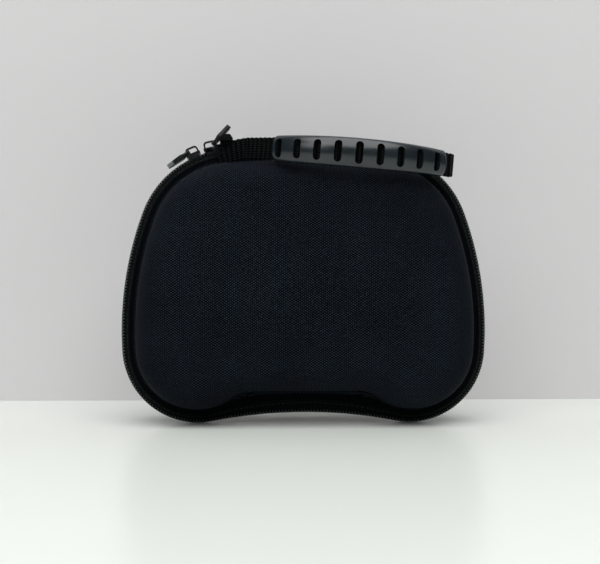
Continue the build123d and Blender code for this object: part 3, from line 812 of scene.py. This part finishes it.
sleeve, slots = surface("gripForm", gripForm()), surface("gripSlots", slotCutters())
channelEnd, room = halfAngle + gripLook["channelOver"], 2 * gripLook["channelGap"]
line = onGrip(np.linspace(-channelEnd, channelEnd, gripLook["channelPoints"]), 0.0, 0.0, 0.0)
channel = ribbon(line, upright, h["width"] + room, h["thickness"] + room, gripLook["channelCorner"])
grip = carve("gripSleeve", sleeve, [slots, surface("gripChannel", *channel)], gripLook["rim"])
place(grip, "handle", "grip_plastic", [hard["gripPlastic"]], "handle_grip")
print("handle made")


# inside: elastic strap, hem, net and fabric hinge

insideLook = dict(
    floor=32.8, strapHalf=63.0, strapWidth=25.0, strapThickness=1.6, strapHeight=76.0, bandPoints=90,
    netDepth=20.0, netTop=80.0, netMargin=0.2, netPitch=3.0, yarn=0.7, netThickness=0.5, netReach=(-180, 260),
    netShortest=1.5, netGirth=2.0, hemHeight=7.0, hemThickness=1.6, hemDepth=19.1, hemMargin=0.2,
    hingeHalf=30.0, hingeThickness=0.8, hingeGap=1.2, hingeFoot=4.2, hingeTop=24.0, hingeRise=0.6, hingeToe=0.5,
    hingeLift=0.3, hingeBlend=1.1, hingeRows=dict(fold=15, up=18, foot=6))
n = insideLook


def crossBand(half, depth, height, width, thickness):
    # a level band across the case, from side to side
    x = np.linspace(-half, half, n["bandPoints"])
    return ribbon(joined(x, depth, height), (0, 0, 1), width, thickness)


def hollowInset(depth):
    # how far the hollow's drafted wall stands inside the outline at a depth
    return o["wallInset"] + shellLook["wall"] + (depth - shellLook["flangeStart"]) * wallSlope


def hollowHalfWidth(height, inset):
    # half of the hollow's width at a height, from the wall's outline
    plan, _ = wallLoop(inset)
    steps = o["steps"]
    upper = plan[: steps["top"] + steps["corner"] + steps["side"] + steps["lobe"] // 2]
    return np.interp(height, upper[::-1, 1], upper[::-1, 0])


band = crossBand(n["strapHalf"], n["floor"] - n["strapThickness"] / 2, n["strapHeight"],
                 n["strapWidth"], n["strapThickness"])
strap = place(surface("elasticStrap", *band), "base", "elastic", [cloth["elasticCloth"]], "retaining_strap")

hemMiddle = n["netTop"] - n["hemHeight"] / 2
hemInset = hollowInset(n["hemDepth"])
band = crossBand(hollowHalfWidth(n["netTop"], hemInset) - n["hemMargin"], -n["hemDepth"] + n["hemThickness"] / 2,
                 hemMiddle, n["hemHeight"], n["hemThickness"])
hem = place(surface("pocketHem", *band), "lid", "elastic", [cloth["elasticCloth"]], "pocket_hem")


def netStrands():
    # yarns slanting both ways, each cut where it leaves the pocket's outline or reaches the hem's middle
    plan, _ = wallLoop(hollowInset(n["netDepth"]) + n["netMargin"])
    edge = closed(plan)
    strands = []
    for way in (1, -1):
        normal, heading = np.array([[1, way], [-way, 1]]) / sqrt(2)
        for offset in np.arange(*n["netReach"], n["netPitch"]):
            side = edge @ normal - offset
            cut = np.nonzero(side[:-1] * side[1:] < 0)[0]
            if len(cut) < 2:
                continue
            share = side[cut] / (side[cut] - side[cut + 1])
            ends = np.sort((edge[cut] + (edge[cut + 1] - edge[cut]) * share[:, None]) @ heading)
            for low, high in zip(ends[::2], ends[1::2]):
                start, end = normal * offset + heading * low, normal * offset + heading * high
                if start[1] >= hemMiddle:
                    continue
                if end[1] > hemMiddle:
                    end = start + (end - start) * (hemMiddle - start[1]) / (end[1] - start[1])
                if hypot(*(end - start)) > n["netShortest"]:
                    strands.append((start, end))
    return strands


def netGrid():
    # flat yarns: four sides round a thin section, closed at both ends
    strands = np.array(netStrands())
    start, end = strands[:, 0], strands[:, 1]
    run = np.linalg.norm(end - start, axis=1)
    heading = (end - start) / run[:, None]
    side = joined(heading[:, 1], -heading[:, 0]) * n["yarn"] / 2
    section = [(-1, -0.5), (1, -0.5), (1, 0.5), (-1, 0.5)]
    rows = []
    for plan, size in endToEnd(start, end):
        row = [withDepth(plan + side * a * size, n["netDepth"] + b * n["netThickness"] * size) for a, b in section]
        rows.append(np.stack(row, 1))
    around, along = np.linspace(0, n["netGirth"], len(section) + 1), joined(0 * run, 0 * run, run, run)
    return np.stack(rows, 1), joined(around, along[..., None])


net = place(surface("pocketNet", *netGrid()), "lid", "net", [cloth["netYarn"]], "pocket_net")
cutEdge, _ = wallLoop(hemInset + n["netMargin"])
cutEdge[:, 1] = np.minimum(cutEdge[:, 1], hemMiddle)


def hingeLine():
    # up from the back foot, over the fold and down to the lid's foot, seen from the end
    t, count = n["hingeThickness"] / 2, n["hingeRows"]
    leaf = n["hingeGap"] / 2 + t
    low = o["notchRise"] + tapeLook["inset"] + tapeLook["thickness"] + t
    angle = np.linspace(0, pi, count["fold"])
    fold = joined(leaf * np.cos(angle), n["hingeTop"] + leaf * np.sin(angle))
    up = np.linspace([leaf, low + n["hingeRise"]], [leaf, n["hingeTop"]], count["up"])[:-1]
    foot = np.linspace([n["hingeFoot"], low], [leaf + n["hingeToe"], low], count["foot"])
    right = np.concatenate([foot, up])
    left = right[::-1] * [-1, 1]
    left[:, 1] += np.where(left[:, 1] < low + n["hingeLift"], n["hingeLift"], 0)
    return np.concatenate([right, fold, left])


section = hingeLine()
hinge = surface("fabricHinge", *ribbon(joined(0.0, *section.T), (1, 0, 0), 2 * n["hingeHalf"], n["hingeThickness"]))
hinge.data.materials.append(cloth["bindingCloth"])
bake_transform(hinge)
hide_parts("fabric_hinge")
print("inside made")


# sliders are the frame's own solids, merged, with side flanges and rounded edges;
# the pulls are moulded plates that lean as they hang

pullLook = dict(
    rootWidth=5.2, widest=5.4, tipWidth=3.6, rootThickness=1.8, thickness=2.7, tipThin=0.8, rim=0.3,
    backRows=(-0.5, -0.5, -0.42), bodyFrom=-0.2, armEnd=1.0, widestAt=5.0, thinTo=2.4, thickFrom=4.6,
    tipRound=1.6, tipPower=2.6, tipFrom=0.15, tipLength=3.2, corner=0.3, bodyRows=26, tipRows=9, sides=28,
    barThickness=1.0, windowFrom=0.5, windowWidth=3.5, windowLength=3.7, windowCorner=0.25, windowSides=24,
    roomHalf=0.8, hole=0.85, cutReach=3.0, axisRadius=3.1, axisShift=1.6,
    left=dict(angle=114.0, towards=1, lift=-11.0, lean=3.0, length=12.6, metalTip=True),
    right=dict(angle=103.4, towards=-1, lift=36.0, lean=-3.0, length=12.2, metalTip=False))
sliderLook = dict(halfRun=2.9, near=3.78, far=4.45, drop=1.45, rise=1.0, rim=0.2, points=9)


def sideFlange(side, way):
    # a curved plate beside the coil, by angle along the zip and radius from under it to above it
    k = sliderLook
    middle = radians(pullLook[side]["angle"])
    angle = middle + np.linspace(-1, 1, k["points"]) * k["halfRun"] / o["cornerRadius"]
    ring = np.array([(k["near"], -k["drop"]), (k["far"], -k["drop"]), (k["far"], k["rise"]), (k["near"], k["rise"])])
    rows = []
    for a, size in [(angle[0], 0), *[(a, 1) for a in angle], (angle[-1], 0)]:
        across = np.array([(k["near"] + k["far"]) / 2, 0]) * (1 - size) + ring * size
        radius = o["cornerRadius"] + across[:, 1]
        x, z = -cornerCentre[0] + radius * cos(a), cornerCentre[1] + radius * sin(a)
        rows.append(joined(x, -way * across[:, 0], z))
    return surface("sideFlange", np.stack(rows))


def inPull(side, x, y, z):
    # a point of the level plate, leaned about its length, lifted about its bar and set on its slider
    p = pullLook[side]
    lean, lift, turn = radians(p["lean"]), radians(p["lift"]), radians(p["angle"])
    y, z = y * cos(lean) - z * sin(lean), y * sin(lean) + z * cos(lean)
    x, z = x * cos(lift) - z * sin(lift), x * sin(lift) + z * cos(lift)
    x, z = x + pullLook["axisShift"], z + pullLook["axisRadius"]
    out = np.array([cos(turn), 0, sin(turn)])
    along = np.array([-sin(turn), 0, cos(turn)]) * p["towards"]
    crest = np.array([-cornerCentre[0], 0, cornerCentre[1]]) + out * o["cornerRadius"]
    x, y, z = (part[..., None] for part in np.broadcast_arrays(x, y, z))
    return crest + x * along + y * np.cross(out, along) + z * out


def pullForm(side):
    # width and thickness drawn along the length: narrow arms, wide shoulder, tapering to a round tip
    p, length = pullLook, pullLook[side]["length"]
    back, tipRound = p["backRows"][0], p["tipRound"]
    tipRows = length - tipRound + tipRound * np.sin(np.linspace(p["tipFrom"], pi / 2, p["tipRows"]))
    x = np.concatenate([p["backRows"], np.linspace(p["bodyFrom"], length - tipRound, p["bodyRows"]), tipRows])
    widths = [p["rootWidth"], p["rootWidth"], p["widest"], p["tipWidth"]]
    wide = np.interp(x, [back, p["armEnd"], p["widestAt"], length - tipRound], widths) / 2
    tip = np.clip((x - length + tipRound) / tipRound, 0, 1)
    wide = wide * np.sqrt(np.maximum(1 - tip ** p["tipPower"], 0.0))
    thicknesses = [p["rootThickness"], p["rootThickness"], p["thickness"], p["thickness"] * p["tipThin"]]
    thick = np.interp(x, [back, p["thinTo"], p["thickFrom"], length], thicknesses) / 2
    wide[0] = thick[0] = 0
    thick = thick * np.where(tip < 1, 1, 0)
    a, b = squared(p["sides"], p["corner"])
    return inPull(side, x[:, None] + 0 * a[None], wide[:, None] * a[None], thick[:, None] * b[None])


def pullCutters(side):
    # the window round the crown, the hole at the tip, and the room above and below the bar
    p, length = pullLook, pullLook[side]["length"]
    turn = circle(p["windowSides"])
    a, b = squared(p["windowSides"], p["windowCorner"])
    long, wide = p["windowLength"] / 2, p["windowWidth"] / 2
    window = (p["windowFrom"] + long + a * long, b * wide)
    hole = (length - p["tipWidth"] / 2 + p["hole"] * np.cos(turn), p["hole"] * np.sin(turn))
    room = (a * p["roomHalf"], b * wide)
    bar, reach = p["barThickness"] / 2, p["cutReach"]
    grids = []
    for (x, y), low, high in [(window, -reach, reach), (hole, -reach, reach), (room, bar, reach), (room, -reach, -bar)]:
        middle = x.mean()
        rows = [inPull(side, middle + (x - middle) * size, y * size, z + 0 * x) for z, size in endToEnd(low, high)]
        grids.append(np.stack(rows))
    return grids


sides = ("left", "right")
for side in sides:
    form = linked("sliderForm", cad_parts["slider_" + side].data.copy())
    form.data.materials.clear()
    merged(form.data, meshLook["flatAngle"])
    flanges = [sideFlange(side, 1), sideFlange(side, -1)]
    slider = carve("zipSlider" + side.capitalize(), form, [], sliderLook["rim"], flanges)
    place(slider, side + "_slider", "slider_metal", [hard["sliderPaint"]], "slider_" + side)

for side in sides:
    plate = surface("pullForm", pullForm(side))
    cutters = [surface("pullCutter", cutter) for cutter in pullCutters(side)]
    pull = carve("zipPull" + side.capitalize(), plate, cutters, pullLook["rim"])
    if pullLook[side]["metalTip"]:
        # faces beyond the start of the tip take the metal
        start, end = inPull(side, np.array([0.0, 1.0]), 0.0, 0.0) * mm
        reach = (np.array([face.center for face in pull.data.polygons]) - start) @ (end - start) / mm**2
        metal = reach > pullLook[side]["length"] - pullLook["tipLength"]
        pull.data.polygons.foreach_set("material_index", metal.astype(np.int32))
    place(pull, side + "_pull", "slider_metal", [hard["sliderPaint"], hard["pullTipMetal"]], "pull_" + side)
print("sliders dressed")


# stage, light and camera; the lamps' places and sizes are metres

stageLook = dict(
    wallDistance=113.0, wallFoot=-1.0, far=4000.0, wallColour=(0.61, 0.6, 0.61), wallRoughness=0.9,
    tableColour=(0.79, 0.826, 0.779), tableRoughness=0.26, tableGloss=0.14, worldStrength=0.06,
    lamps=dict(topLamp=dict(place=(0.05, -1.2, 1.9), target=(0, 0.1, 0.1), size=2.9, power=65.0),
               leftLamp=dict(place=(-1.5, -2.2, 1.3), target=(0, 0, 0.1), size=1.2, power=8.6)))
cameraLook = dict(distance=600.0, height=69.5, azimuth=-2.0, lens=72.6, sensorWidth=36.0, shiftX=-0.0067)
s = stageLook


def plane(name, near, away, material):
    # a plane as wide as the stage, between two edges, each (Y, Z)
    mesh = bpy.data.meshes.new(name)
    ends = [(-s["far"], *near), (s["far"], *near), (s["far"], *away), (-s["far"], *away)]
    mesh.from_pydata([[c * mm for c in corner] for corner in ends], [], [(0, 1, 2, 3)])
    mesh.materials.append(material)
    linked(name, mesh)


table = shader("whiteTable", s["tableColour"], s["tableRoughness"], specular=s["tableGloss"])[0]
wallPaint = shader("paleWall", s["wallColour"], s["wallRoughness"])[0]
far, back = s["far"], s["wallDistance"]
plane("tableTop", (-far, 0), (back, 0), table)
plane("backWall", (back, s["wallFoot"]), (back, far), wallPaint)


def softLamp(name, place, target, size, power):
    lamp = bpy.data.lights.new(name, "AREA")
    lamp.shape, lamp.size, lamp.energy = "DISK", size, power
    holder = linked(name, lamp)
    holder.location = place
    holder.rotation_euler = (Vector(target) - Vector(place)).to_track_quat("-Z", "Y").to_euler()


for name, look in s["lamps"].items():
    softLamp(name, **look)
world = bpy.data.worlds.new("studio")
world.use_nodes = True
setInputs(world.node_tree.nodes["Background"], {"Color": (1, 1, 1, 1), "Strength": s["worldStrength"]})
bpy.context.scene.world = world

c = cameraLook
azimuth, distance = radians(c["azimuth"]), c["distance"] * mm
view = bpy.data.cameras.new("photoView")
view.lens, view.sensor_width, view.shift_x = c["lens"], c["sensorWidth"], c["shiftX"]
camera = linked("photoView", view)
camera.location = (sin(azimuth) * distance, -cos(azimuth) * distance, c["height"] * mm)
camera.rotation_euler = (pi / 2, 0, azimuth)
bpy.context.scene.camera = camera
bpy.context.scene.view_settings.view_transform = "Standard"
print("stage, light and camera made")
